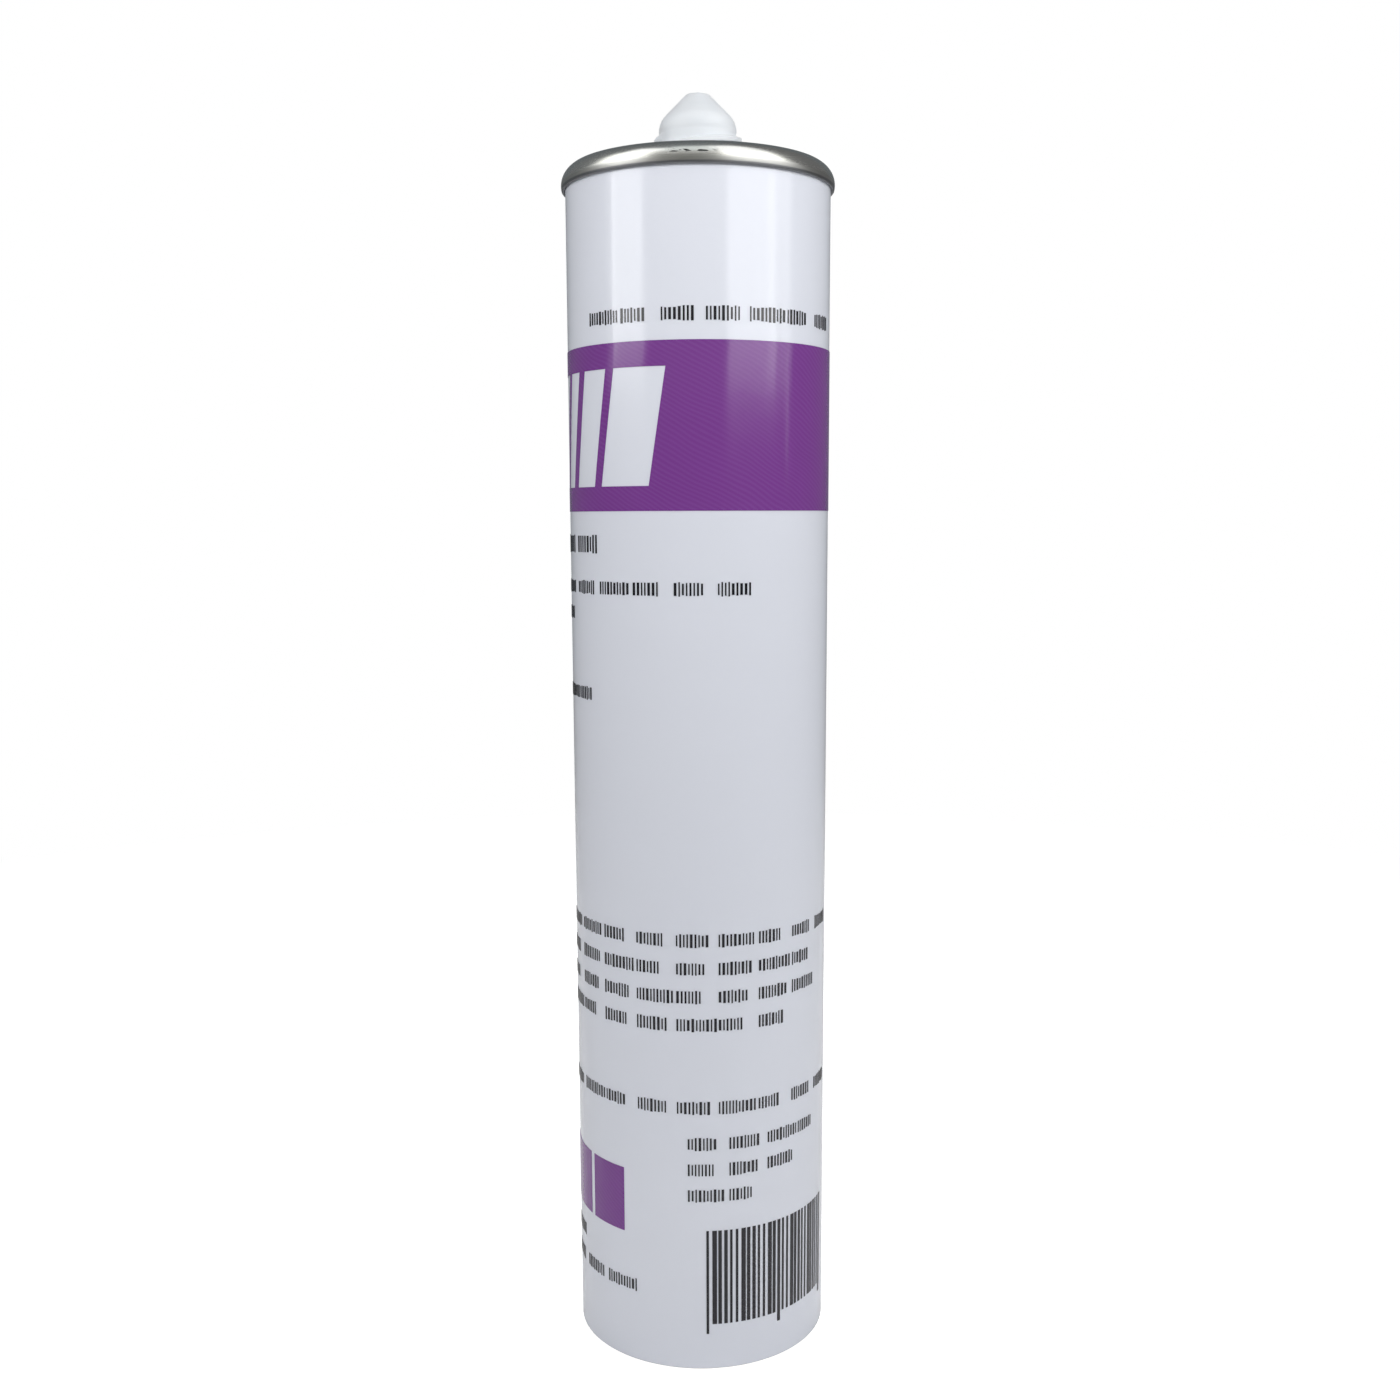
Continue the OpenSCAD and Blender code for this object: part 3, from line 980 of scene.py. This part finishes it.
@dataclass
class Neck:
    """Moulded neck: flange, snap bead, nozzle seat, threaded shank and closed tip."""

    metal: MetalEnd
    flange_h: float = 1.4 * MM
    bead_out: float = 0.5 * MM
    bead_h: float = 1.6 * MM
    seat_rise: float = 0.5 * MM
    seat_radius: float = 9.0 * MM
    root_radius: float = 7.2 * MM
    thread_radius: float = 8.3 * MM
    starts: int = 2
    pitch: float = 2.8 * MM
    thread_foot: float = 1.7 * MM
    thread_crest: float = 0.7 * MM
    thread_end: float = 25.0
    thread_fade: float = 30.0
    cone_radius: float = 7.3 * MM
    cone_round: float = 4.0 * MM
    cone_side: float = 0.2 * MM
    tip_radius: float = 2.2 * MM
    tip_round: float = 0.8 * MM
    tip_wall: float = 1.2 * MM
    bore_radius: float = 5.0 * MM
    funnel: float = 2.0 * MM
    thread_rows: int = 110
    shank_share: float = 0.98
    segments: int = 180
    sharp: float = 40.0
    tip_z: float = field(init=False)
    flange_z: float = field(init=False)
    flange_radius: float = field(init=False)

    def __post_init__(self) -> None:
        """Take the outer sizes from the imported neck."""
        low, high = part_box("neck")
        self.tip_z = high.z
        self.flange_z = low.z
        self.flange_radius = high.x

    @property
    def cone_low(self) -> float:
        """Height at which the round between side and cone has its centre."""
        slope = math.sqrt(0.5)
        fall = self.cone_radius - self.tip_radius - self.cone_round * (1 - slope)
        return self.tip_z - fall - self.cone_round * slope

    @property
    def root_top(self) -> float:
        """Height at which the threaded shank ends."""
        return self.cone_low - self.cone_side - (self.cone_radius - self.root_radius)

    @property
    def seat_z(self) -> float:
        """Height of the nozzle seat."""
        metal = self.metal
        collar_top = metal.seam.top - metal.panel_depth - metal.step_h + metal.collar_h
        return collar_top + metal.seam.gap + self.bead_h + self.seat_rise

    def outline(self) -> list[Point]:
        """Section of the neck without its thread."""
        metal = self.metal
        flange_top = self.flange_z + self.flange_h
        bead_z = self.seat_z - self.seat_rise - self.bead_h
        bead = metal.neck_radius + self.bead_out
        inner_tip = self.tip_radius - self.tip_wall / 2
        inner_z = self.tip_z - self.tip_wall
        tip_z = self.tip_z - self.tip_round
        flat = self.tip_radius - self.tip_round * math.tan(math.pi / 8)
        taper = self.root_top - self.cone_side
        return [
            (self.bore_radius + self.funnel, self.flange_z), (self.flange_radius, self.flange_z),
            (self.flange_radius, flange_top), (metal.neck_radius, flange_top),
            (metal.neck_radius, bead_z), (bead, bead_z), (bead, bead_z + self.bead_h / 2),
            (self.seat_radius, bead_z + self.bead_h), (self.seat_radius, self.seat_z),
            (self.root_radius, self.seat_z),
            *rows((self.root_radius, self.seat_z), (self.root_radius, taper), self.thread_rows),
            (self.root_radius, taper),
            *arc((self.cone_radius - self.cone_round, self.cone_low), self.cone_round, 0, 45, 4.5),
            *arc((flat, tip_z), self.tip_round, 45, 90, 9),
            (0.0, self.tip_z), (0.0, inner_z), (inner_tip, inner_z),
            (self.bore_radius, inner_z - self.bore_radius + inner_tip),
            (self.bore_radius, self.flange_z + self.funnel),
        ]

    def thread(self, finish: bpy.types.Material) -> Recipe:
        """Recipe that raises the thread on the shank.

        Args:
            finish: The neck's material.

        Returns:
            The recipe.
        """
        low = self.seat_z + self.thread_foot / 2
        lead = self.pitch * self.starts
        turns = (self.root_top - self.thread_foot / 2 - low) / lead
        recipe = Recipe("raised_thread", {
            "Lead": lead, "Starts": float(self.starts), "Low end": low, "Turns": turns,
            "First angle": self.thread_end / 360 - turns, "Fade": self.thread_fade / 360,
            "Foot": self.thread_foot, "Crest": self.thread_crest,
            "Height": self.thread_radius - self.root_radius,
            "Shank": self.root_radius * self.shank_share, "Material": finish,
        })
        size = recipe.inputs
        x, y, z = recipe.split(recipe.node("GeometryNodeInputPosition"))
        radius = recipe.math("SQRT", x * x + y * y)
        angle = recipe.math("ARCTAN2", y, x) / (2 * math.pi) - size["First angle"]
        climbed = (z - size["Low end"]) / size["Lead"]
        along = angle + recipe.math("ROUND", (climbed - angle) * size["Starts"]) / size["Starts"]
        off = abs(climbed - along) * size["Lead"]
        ridge = ((size["Foot"] / 2.0 - off) / (size["Foot"] / 2.0 - size["Crest"] / 2.0)).clamped()
        ridge = ridge * ridge * (3.0 - 2.0 * ridge)
        ends = (recipe.math("MINIMUM", along, size["Turns"] - along) / size["Fade"]).clamped()
        shank = recipe.math("GREATER_THAN", radius, size["Shank"])
        push = size["Height"] * ridge * ends * shank / radius
        offset = recipe.node("ShaderNodeCombineXYZ", values={0: x * push, 1: y * push, 2: 0.0})
        moved = recipe.node(
            "GeometryNodeSetPosition", values={"Geometry": size["Geometry"], "Offset": offset})
        recipe.close(moved)
        return recipe

    def build(self) -> bpy.types.Object:
        """Make the neck in place of its solid.

        Returns:
            The neck.
        """
        finish = MilkyFinish(
            "neck_plastic", colour=(0.8, 0.83, 0.865), shade=(0.76, 0.795, 0.835)).material()
        start = as_mesh(lathe(self.outline(), self.segments), "neck_start")
        neck = piece("neck_and_tip", self.thread(finish).run(start), self.sharp)
        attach(neck, Body.CARTRIDGE.value)
        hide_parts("neck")
        return neck


@dataclass(frozen=True)
class Row:
    """One printed row: height of its middle, its own height, and its two end angles."""

    z: float
    height: float
    first: float
    last: float


@dataclass(frozen=True)
class Mark:
    """One printed block: the middle of its foot on the unrolled tube, its width and height."""

    x: float
    z: float
    width: float
    height: float


@dataclass
class Print:
    """The ink on the tube: purple band and blocks, dark rows and the striped field.

    Angles are in degrees from the front and grow to the right. A row stands at the height of its
    middle, and a drop goes down from the lower edge of the band, the blocks or the stripes.
    """

    gloss: Gloss
    tube: Tube
    ink: float = 0.06 * MM
    gap: float = 0.02 * MM
    band_z: float = 165.2 * MM
    band_h: float = 29.8 * MM
    bar_h: float = 20.9 * MM
    bar_rows: int = 6
    column_turn: float = 1.5
    bar_lean: float = 9.0
    bar_shares: tuple[float, ...] = (0.16, 0.26, 0.42)
    group_w: float = 24.0 * MM
    group_n: int = 3
    group_step: float = 61.0
    group_turn: float = -46.0
    row_h: float = 2.6 * MM
    heavy_h: float = 3.4 * MM
    word_w: float = 8.0 * MM
    word_gap: float = 1.6 * MM
    dash_gap: float = 0.36 * MM
    dash_widths: tuple[float, ...] = (0.28 * MM, 0.36 * MM, 0.5 * MM)
    dash_heights: tuple[float, ...] = (0.8, 0.9, 0.9, 1.0)
    field_z: float = 85.9 * MM
    field_pitch: float = 5.45 * MM
    field_last: tuple[float, ...] = (84.0, 80.0, 68.0, 48.0)
    column_z: float = 46.0 * MM
    column_pitch: float = 5.2 * MM
    column_rise: float = 7.2 * MM
    column_first: float = -6.0
    column_last: tuple[float, ...] = (74.0, 61.0, 48.0)
    block_z: float = 26.3 * MM
    block_h: float = 13.0 * MM
    block_n: int = 3
    block_right: float = -47.5
    block_step: float = 24.0
    block_turn: float = 21.0
    block_columns: int = 13
    title_rise: float = 4.5 * MM
    title_ends: Span = (-52.0, 80.0)
    heavy_drop: float = 6.0 * MM
    heavy_last: float = -42.0
    # drop and right end of the short rows under the band
    notes: tuple[Span, ...] = ((14.0 * MM, 34.0), (19.0 * MM, -50.0), (34.0 * MM, -46.0))
    address_drop: float = 5.0 * MM
    address_pitch: float = 5.6 * MM
    address_last: tuple[float, ...] = (-56.0, -20.0)
    stripe_z: float = 9.3 * MM
    stripe_h: float = 19.2 * MM
    stripe_w: float = 0.5 * MM
    stripe_growth: float = 0.4
    stripe_pitch: float = 1.15 * MM
    stripe_n: int = 27
    stripe_left: float = 2.0
    stripe_drop: float = 2.0 * MM
    left: float = -84.0
    right: float = 84.0

    def reach(self, angle: float) -> float:
        """Distance round the tube from the front to an angle in degrees."""
        return math.radians(angle) * self.tube.radius

    def text_rows(self) -> list[Row]:
        """All the dark rows, from the top down."""
        low, h = self.band_z, self.row_h
        upper = [
            Row(low + self.band_h + self.title_rise, h, *self.title_ends),
            Row(low - self.heavy_drop, self.heavy_h, self.left, self.heavy_last),
            *[Row(low - drop, h, self.left, last) for drop, last in self.notes],
        ]
        lower = [
            Row(self.field_z - i * self.field_pitch, h, self.left, last)
            for i, last in enumerate(self.field_last)
        ]
        column = [Row(self.column_z + self.column_rise, h, self.left, self.right)] + [
            Row(self.column_z - i * self.column_pitch, h, self.column_first, last)
            for i, last in enumerate(self.column_last)
        ]
        address = [
            Row(self.block_z - self.address_drop - i * self.address_pitch, h, self.left, last)
            for i, last in enumerate(self.address_last)
        ]
        return upper + lower + column + address

    def row_marks(self, row: Row, seed: int) -> list[Mark]:
        """Upright dashes of one row, in runs of uneven length.

        Args:
            row: The row.
            seed: Number of the row, which varies its runs.

        Returns:
            The dashes.
        """
        marks = []
        start = self.reach(row.first)
        words = math.floor((self.reach(row.last) - start) / self.word_w)
        heavy = row.height / self.row_h
        for i in range(words):
            short = (seed * 5 + i * 7) % 4 * self.word_gap / 2
            x = start + i * self.word_w
            end = x + self.word_w - self.word_gap * 0.5 - short
            while x < end:
                width = random.choice(self.dash_widths) * heavy
                height = random.choice(self.dash_heights) * row.height
                marks.append(Mark(x + width / 2, row.z - height / 2, width, height))
                x += width + self.dash_gap * heavy
        return marks

    def stripe_marks(self) -> list[Mark]:
        """Stripes of three widths, the end ones and the middle one longer."""
        marks = []
        for i in range(self.stripe_n):
            width = self.stripe_w * (1 + self.stripe_growth * (i * 7 % 5 % 3))
            drop = self.stripe_drop if i in (0, self.stripe_n // 2, self.stripe_n - 1) else 0.0
            x = self.reach(self.stripe_left) + i * self.stripe_pitch + width / 2
            marks.append(Mark(x, self.stripe_z - drop, width, self.stripe_h + drop))
        return marks

    def bent_blocks(
        self, marks: Iterable[Mark], finish: bpy.types.Material, columns: int = 2,
    ) -> bpy.types.Mesh:
        """Blocks of ink, laid out flat and bent round the tube.

        Args:
            marks: The blocks.
            finish: Their material.
            columns: Points across each block.

        Returns:
            The mesh.
        """
        marks = list(marks)
        start = bpy.data.meshes.new("marks")
        start.from_pydata([(m.x, 0.0, m.z + m.height / 2) for m in marks], [], [])
        for name in ("width", "height"):
            sizes = [getattr(m, name) for m in marks]
            start.attributes.new(name, "FLOAT", "POINT").data.foreach_set("value", sizes)
        recipe = Recipe("bent_blocks", {
            "Radius": self.tube.radius, "Gap": self.gap, "Ink": self.ink, "Columns": columns,
            "Material": finish,
        })
        size = recipe.inputs
        width, height = (
            recipe.node("GeometryNodeInputNamedAttribute", {"data_type": "FLOAT"}, {"Name": name})
            for name in ("width", "height")
        )
        block = recipe.node("GeometryNodeMeshCube", values={
            "Size": (1.0, 1.0, 1.0), "Vertices X": size["Columns"],
        })
        scale = recipe.node("ShaderNodeCombineXYZ", values={0: width, 1: size["Ink"], 2: height})
        laid = recipe.node("GeometryNodeInstanceOnPoints", values={
            "Points": size["Geometry"], "Instance": block, "Scale": scale,
        })
        real = recipe.node("GeometryNodeRealizeInstances", values={"Geometry": laid})
        x, y, z = recipe.split(recipe.node("GeometryNodeInputPosition"))
        angle = x / size["Radius"]
        out = size["Radius"] + size["Gap"] + size["Ink"] / 2.0 - y
        bent = recipe.node("ShaderNodeCombineXYZ", values={
            0: out * recipe.math("SINE", angle), 1: 0.0 - out * recipe.math("COSINE", angle), 2: z,
        })
        recipe.close(recipe.node(
            "GeometryNodeSetPosition", values={"Geometry": real, "Position": bent}))
        return recipe.run(start)

    def band_columns(self) -> list[tuple[float, bool]]:
        """Left edges of the band's columns, on the unrolled tube at the band's middle.

        Returns:
            The edge of each column, and whether a white bar takes it.
        """
        radius = self.tube.radius
        gap = (1 - sum(self.bar_shares)) / (len(self.bar_shares) - 1)
        cuts = []
        for group in range(self.group_n):
            middle = self.reach(self.group_turn - group * self.group_step)
            flat = -self.group_w / 2
            for share in self.bar_shares:
                ends = [flat, flat + share * self.group_w]
                cuts.append(tuple(middle + math.asin(e / radius) * radius for e in ends))
                flat += (share + gap) * self.group_w
        cuts.sort()
        around = 2 * math.pi * radius
        edges = [edge for cut in cuts for edge in cut]
        columns = []
        for i, edge in enumerate(edges):
            following = edges[(i + 1) % len(edges)] + (around if i + 1 == len(edges) else 0.0)
            steps = max(1, math.ceil((following - edge) / self.reach(self.column_turn)))
            columns += [(edge + (following - edge) * k / steps, i % 2 == 0) for k in range(steps)]
        return columns

    def band(self) -> bpy.types.Mesh:
        """The purple band: one leaning grid round the tube, open where the white bars show.

        Returns:
            The mesh.
        """
        made = bmesh.new()
        middle = self.band_z + self.band_h / 2
        heights = [
            -self.band_h / 2, -self.bar_h / 2,
            *[self.bar_h * (k / self.bar_rows - 0.5) for k in range(1, self.bar_rows)],
            self.bar_h / 2, self.band_h / 2,
        ]
        columns = self.band_columns()
        lean = math.tan(math.radians(self.bar_lean))
        shells = []
        for radius in (self.tube.radius + self.gap, self.tube.radius + self.gap + self.ink):
            grid = []
            for x, _ in columns:
                angles = [(x + lean * h) / self.tube.radius for h in heights]
                grid.append([
                    made.verts.new((radius * math.sin(a), -radius * math.cos(a), middle + h))
                    for a, h in zip(angles, heights)
                ])
            shells.append(grid)
        self._fill(made, shells, [opened for _, opened in columns], len(heights) - 1)
        bmesh.ops.delete(made, geom=[v for v in made.verts if not v.link_faces], context="VERTS")
        bmesh.ops.recalc_face_normals(made, faces=made.faces)
        return as_mesh(made, "band")

    @staticmethod
    def _fill(made: bmesh.types.BMesh, shells: list, opened: list[bool], floors: int) -> None:
        """Add the band's faces: both shells and the walls round every opening.

        Args:
            made: The mesh that gets the faces.
            shells: The inner and the outer grid of points.
            opened: For each column, whether the middle floors are left open.
            floors: How many faces lie above each other.
        """
        inner, outer = shells
        count = len(opened)
        solid = [
            [not (opened[i] and 0 < k < floors - 1) for k in range(floors)] for i in range(count)
        ]

        def wall(first: tuple[int, int], second: tuple[int, int]) -> None:
            """Join the shells between two grid points."""
            (i, k), (j, m) = first, second
            made.faces.new([inner[i][k], inner[j][m], outer[j][m], outer[i][k]])

        for i in range(count):
            j = (i + 1) % count
            for k in range(floors):
                if not solid[i][k]:
                    continue
                for grid in shells:
                    made.faces.new([grid[i][k], grid[j][k], grid[j][k + 1], grid[i][k + 1]])
                if k == 0 or not solid[i][k - 1]:
                    wall((i, k), (j, k))
                if k == floors - 1 or not solid[i][k + 1]:
                    wall((i, k + 1), (j, k + 1))
                if not solid[i - 1][k]:
                    wall((i, k), (i, k + 1))
                if not solid[j][k]:
                    wall((j, k), (j, k + 1))

    def build(self) -> list[bpy.types.Object]:
        """Make the ink in place of its two solids.

        Returns:
            The purple ink and the dark ink.
        """
        purple = InkFinish(
            "purple_ink", self.gloss, colour=(0.176, 0.041, 0.258),
            screened=(0.204, 0.058, 0.292)).material()
        dark = InkFinish(
            "dark_ink", self.gloss, colour=(0.014, 0.013, 0.018),
            screened=(0.024, 0.022, 0.028), screen_share=0.2).material()
        squares = [
            Mark(self.reach(self.block_right - i * self.block_step), self.block_z,
                 self.reach(self.block_turn), self.block_h)
            for i in range(self.block_n)
        ]
        joined = bmesh.new()
        for mesh in (self.band(), self.bent_blocks(squares, purple, self.block_columns)):
            joined.from_mesh(mesh)
        band = piece("purple_print", as_mesh(joined, "purple_print"))
        band.data.materials.clear()
        band.data.materials.append(purple)
        marks = [m for seed, row in enumerate(self.text_rows()) for m in self.row_marks(row, seed)]
        dashes = piece("dark_print", self.bent_blocks(marks + self.stripe_marks(), dark))
        for made, node, slot in (
            (band, "print_purple", Slot.PURPLE), (dashes, "print_dark", Slot.DARK),
        ):
            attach(made, Body.CARTRIDGE.value)
            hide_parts(node)
        return [band, dashes]


@dataclass
class Filling:
    """The paste between the piston and the neck."""

    edge_round: float = 0.6 * MM
    kept: float = 0.0037
    segments: int = 96

    def build(self) -> bpy.types.Object:
        """Make the filling in place of its solid.

        Returns:
            The filling.
        """
        low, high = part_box("sealant")
        edge = self.edge_round
        outline = [
            (0.0, low.z), *arc((high.x - edge, low.z + edge), edge, -90, 0, 15),
            *arc((high.x - edge, high.z - edge), edge, 0, 90, 15), (0.0, high.z),
        ]
        made = piece("filling", as_mesh(lathe(outline, self.segments), "filling"))
        made.data.materials.append(PasteFinish().material())
        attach(made, Body.CARTRIDGE.value)
        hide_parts("sealant")
        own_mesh(made)
        return made


@dataclass
class Piston:
    """The wiper piston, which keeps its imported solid."""

    def dress(self) -> bpy.types.Object:
        """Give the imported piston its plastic.

        Returns:
            The piston.
        """
        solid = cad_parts["piston"]
        finish = MilkyFinish(
            "piston_plastic", colour=(0.78, 0.78, 0.75), shade=(0.72, 0.72, 0.69), soft=0.15)
        solid.material_slots[0].material = finish.material()
        log.info("piston: %d faces", len(solid.data.polygons))
        return solid


@dataclass(frozen=True)
class Lamp:
    """A soft lamp that is turned to the tube, level unless it gets a height to aim at."""

    name: str
    azimuth: float
    distance: float
    low: float
    width: float
    height: float
    radiance: float
    aim_z: float | None = None
    reflected: bool = True

    def place(self) -> bpy.types.Object:
        """Put the lamp in the scene.

        Returns:
            The lamp.
        """
        data = bpy.data.lights.new(self.name, "AREA")
        data.shape = "RECTANGLE"
        data.size = self.width
        data.size_y = self.height
        data.energy = self.radiance * math.pi * self.width * self.height
        lamp = put(self.name, data)
        turn = math.radians(self.azimuth)
        spot = Vector((math.sin(turn), -math.cos(turn), 0.0)) * self.distance
        spot.z = self.low + self.height / 2
        lamp.location = spot
        aim = Vector((0.0, 0.0, spot.z if self.aim_z is None else self.aim_z)) - spot
        lamp.rotation_euler = aim.to_track_quat("-Z", "Y").to_euler()
        lamp.visible_camera = False
        lamp.visible_glossy = self.reflected
        return lamp


@dataclass(frozen=True)
class Flag:
    """A card that only reflections see, as a piece of a sphere round the tube's top."""

    name: str
    azimuth: Span
    elevation: Span
    colour: Colour
    distance: float = 1.4
    centre_z: float = 0.2
    steps: int = 24

    def place(self) -> bpy.types.Object:
        """Put the card in the scene, seen by reflections alone.

        Returns:
            The card.
        """
        made = bmesh.new()
        turns, rises = (
            [math.radians(first + (last - first) * i / self.steps) for i in range(self.steps + 1)]
            for first, last in (self.azimuth, self.elevation)
        )
        grid = [
            [
                made.verts.new((
                    math.sin(turn) * math.cos(rise) * self.distance,
                    -math.cos(turn) * math.cos(rise) * self.distance,
                    self.centre_z + math.sin(rise) * self.distance,
                ))
                for rise in rises
            ]
            for turn in turns
        ]
        for near, far in zip(grid, grid[1:]):
            for k in range(self.steps):
                made.faces.new([near[k], far[k], far[k + 1], near[k + 1]])
        card = put(self.name, as_mesh(made, self.name))
        shader = Shader(self.name)
        glow = shader.node("ShaderNodeEmission", values={"Color": opaque(self.colour)})
        card.data.materials.append(shader.end(glow))
        card.visible_camera = False
        card.visible_diffuse = False
        card.visible_shadow = False
        card.visible_transmission = False
        return card


@dataclass
class Studio:
    """Camera, pale floor, white background, soft lamps and cards."""

    eye: tuple[float, float, float] = (0.0, -0.3027, 0.1639)
    pitch: float = 8.67
    roll: float = -0.21
    lens: float = 39.48
    sensor: float = 36.0
    nearest: float = 0.01
    shift: float = 0.0373
    floor_size: float = 4.0
    floor_drop: float = 0.05 * MM
    floor_colour: Colour = (0.9, 0.9, 0.9)
    floor_glow: float = 0.7
    # distance from the axis at which the floor is half white, and the width of the change
    floor_fade: Span = (0.4, 0.3)
    ambient: float = 0.19
    # name, azimuth, distance, lower edge, width, height, radiance, height aimed at, reflected
    lamps: tuple[Lamp, ...] = (
        Lamp("lamp_left", -60.5, 0.75, 0.262, 0.354, 0.2, 3.0),
        Lamp("lamp_left_edge", -75.5, 0.75, 0.262, 0.048, 0.2, 4.4),
        Lamp("lamp_right", 42.3, 0.75, 0.248, 0.48, 0.2, 2.35),
        Lamp("lamp_right_edge", 64.2, 0.75, 0.248, 0.11, 0.2, 3.2),
        Lamp("lamp_right_outer", 77.2, 0.75, 0.248, 0.232, 0.2, 1.1),
        Lamp("lamp_right_streak", 81.0, 0.74, 0.2, 0.03, 0.24, 1.6),
        Lamp("lamp_front_top", 0.0, 0.22, 0.22, 0.3, 0.16, 2.25, 0.2, False),
        Lamp("lamp_front_low", 0.0, 0.1, 0.0, 0.2, 0.02, 0.4, 0.0, False),
        Lamp("lamp_left_top", -80.0, 0.3, 0.24, 0.3, 0.24, 1.08, 0.2, False),
        Lamp("lamp_right_top", 80.0, 0.3, 0.24, 0.3, 0.24, 1.8, 0.2, False),
        Lamp("lamp_back", 180.0, 0.4, 0.3, 0.4, 0.3, 3.0, 0.15, False),
    )
    # name, azimuths, elevations, colour, distance
    flags: tuple[Flag, ...] = (
        Flag("card_cap", (0.0, 360.0), (76.0, 90.0), (0.19, 0.21, 0.22)),
        Flag("card_cap_left", (-88.0, -40.0), (64.0, 76.0), (0.19, 0.21, 0.22)),
        Flag("card_top_left", (-88.0, -40.0), (50.0, 64.0), (2.0, 2.0, 2.0)),
        Flag("card_top_front", (-40.0, 20.0), (50.0, 76.0), (1.0, 1.06, 1.05)),
        Flag("card_top_right", (20.0, 86.0), (50.0, 76.0), (1.7, 1.7, 1.7)),
        Flag("card_back", (140.0, 220.0), (-10.0, 76.0), (0.15, 0.165, 0.175)),
        Flag("card_right_back", (80.0, 140.0), (-10.0, 76.0), (0.17, 0.17, 0.17), 1.45),
        Flag("card_left_back", (-140.0, -84.0), (-10.0, 76.0), (0.18, 0.19, 0.195), 1.45),
        Flag("card_front_high", (-44.0, 22.0), (32.0, 50.0), (0.58, 0.58, 0.56)),
        Flag("card_front_middle", (-44.0, 22.0), (14.0, 32.0), (0.25, 0.25, 0.235)),
        Flag("card_front", (-44.0, 22.0), (-10.0, 14.0), (0.34, 0.335, 0.31)),
        Flag("card_left_high", (-95.0, -44.0), (17.0, 50.0), (2.2, 2.2, 2.1)),
        Flag("card_right_high", (22.0, 80.0), (17.0, 50.0), (2.5, 2.5, 2.4)),
        Flag("card_low", (-90.0, 84.0), (-10.0, 3.5), (0.16, 0.16, 0.16), 1.35),
    )

    def camera(self) -> None:
        """Set the camera where the photograph was taken from."""
        data = bpy.data.cameras.new("camera")
        data.lens = self.lens
        data.sensor_width = self.sensor
        data.shift_y = self.shift
        data.clip_start = self.nearest
        made = put("camera", data)
        made.location = self.eye
        tilt = Matrix.Rotation(math.radians(90.0 - self.pitch), 3, "X")
        made.rotation_euler = (tilt @ Matrix.Rotation(math.radians(self.roll), 3, "Z")).to_euler()
        bpy.context.scene.camera = made

    @staticmethod
    def asked_by(graph: Graph, *kinds: str) -> Term:
        """Whether a ray of one of some kinds asks for the colour.

        Args:
            graph: The tree.
            *kinds: The kinds of ray, such as "Camera".

        Returns:
            1 if so, or else 0.
        """
        path = graph.node("ShaderNodeLightPath").socket.node.outputs
        asked = Term(graph, path[f"Is {kinds[0]} Ray"])
        for kind in kinds[1:]:
            asked = graph.math("MAXIMUM", asked, Term(graph, path[f"Is {kind} Ray"]))
        return asked

    def world(self) -> None:
        """White behind the object, and a level sky that lights it."""
        world = bpy.data.worlds.new("studio")
        bpy.context.scene.world = world
        world.use_nodes = True
        graph = Graph(world.node_tree)
        sky, white = (
            graph.node("ShaderNodeBackground", values={0: WHITE, 1: strength})
            for strength in (self.ambient, 1.0)
        )
        seen = self.asked_by(graph, "Camera", "Glossy", "Transmission")
        mixed = graph.node("ShaderNodeMixShader", values={0: seen, 1: sky, 2: white})
        graph.node("ShaderNodeOutputWorld", values={0: mixed})

    def floor(self) -> bpy.types.Object:
        """Pale floor that keeps the object's shadow and turns white in the distance.

        Returns:
            The floor.
        """
        half = self.floor_size / 2
        made = bmesh.new()
        corners = [(-half, -half), (half, -half), (half, half), (-half, half)]
        made.faces.new([made.verts.new((x, y, -self.floor_drop)) for x, y in corners])
        floor = put("floor", as_mesh(made, "floor"))
        shader = Shader("floor")
        seen = self.asked_by(shader, "Camera")
        matt = shader.node("ShaderNodeBsdfDiffuse", values={0: opaque(self.floor_colour)})
        glow = shader.node("ShaderNodeEmission", values={0: WHITE, 1: seen * self.floor_glow})
        near = shader.node("ShaderNodeAddShader", values={0: matt, 1: glow})
        far = shader.node("ShaderNodeEmission", values={0: WHITE, 1: 1.0})
        mixed = shader.node("ShaderNodeMixShader", values={
            0: seen * shader.radius().above(*self.floor_fade), 1: near, 2: far,
        })
        floor.data.materials.append(shader.end(mixed))
        return floor

    def build(self) -> None:
        """Set up the whole studio."""
        bpy.context.scene.view_settings.view_transform = "Standard"
        self.camera()
        self.world()
        self.floor()
        for part in (*self.lamps, *self.flags):
            part.place()


def main() -> None:
    """Build the studio and the object."""
    random.seed(7)
    Studio().build()
    gloss = Gloss()
    seam = Seam()
    tube = Tube(gloss, seam)
    metal = MetalEnd(seam)
    tube.build()
    metal.build()
    Neck(metal).build()
    Print(gloss, tube).build()
    Filling().build()
    Piston().dress()


if __name__ == "__main__":
    logging.basicConfig(level=logging.INFO, format="%(name)s: %(message)s")
    main()
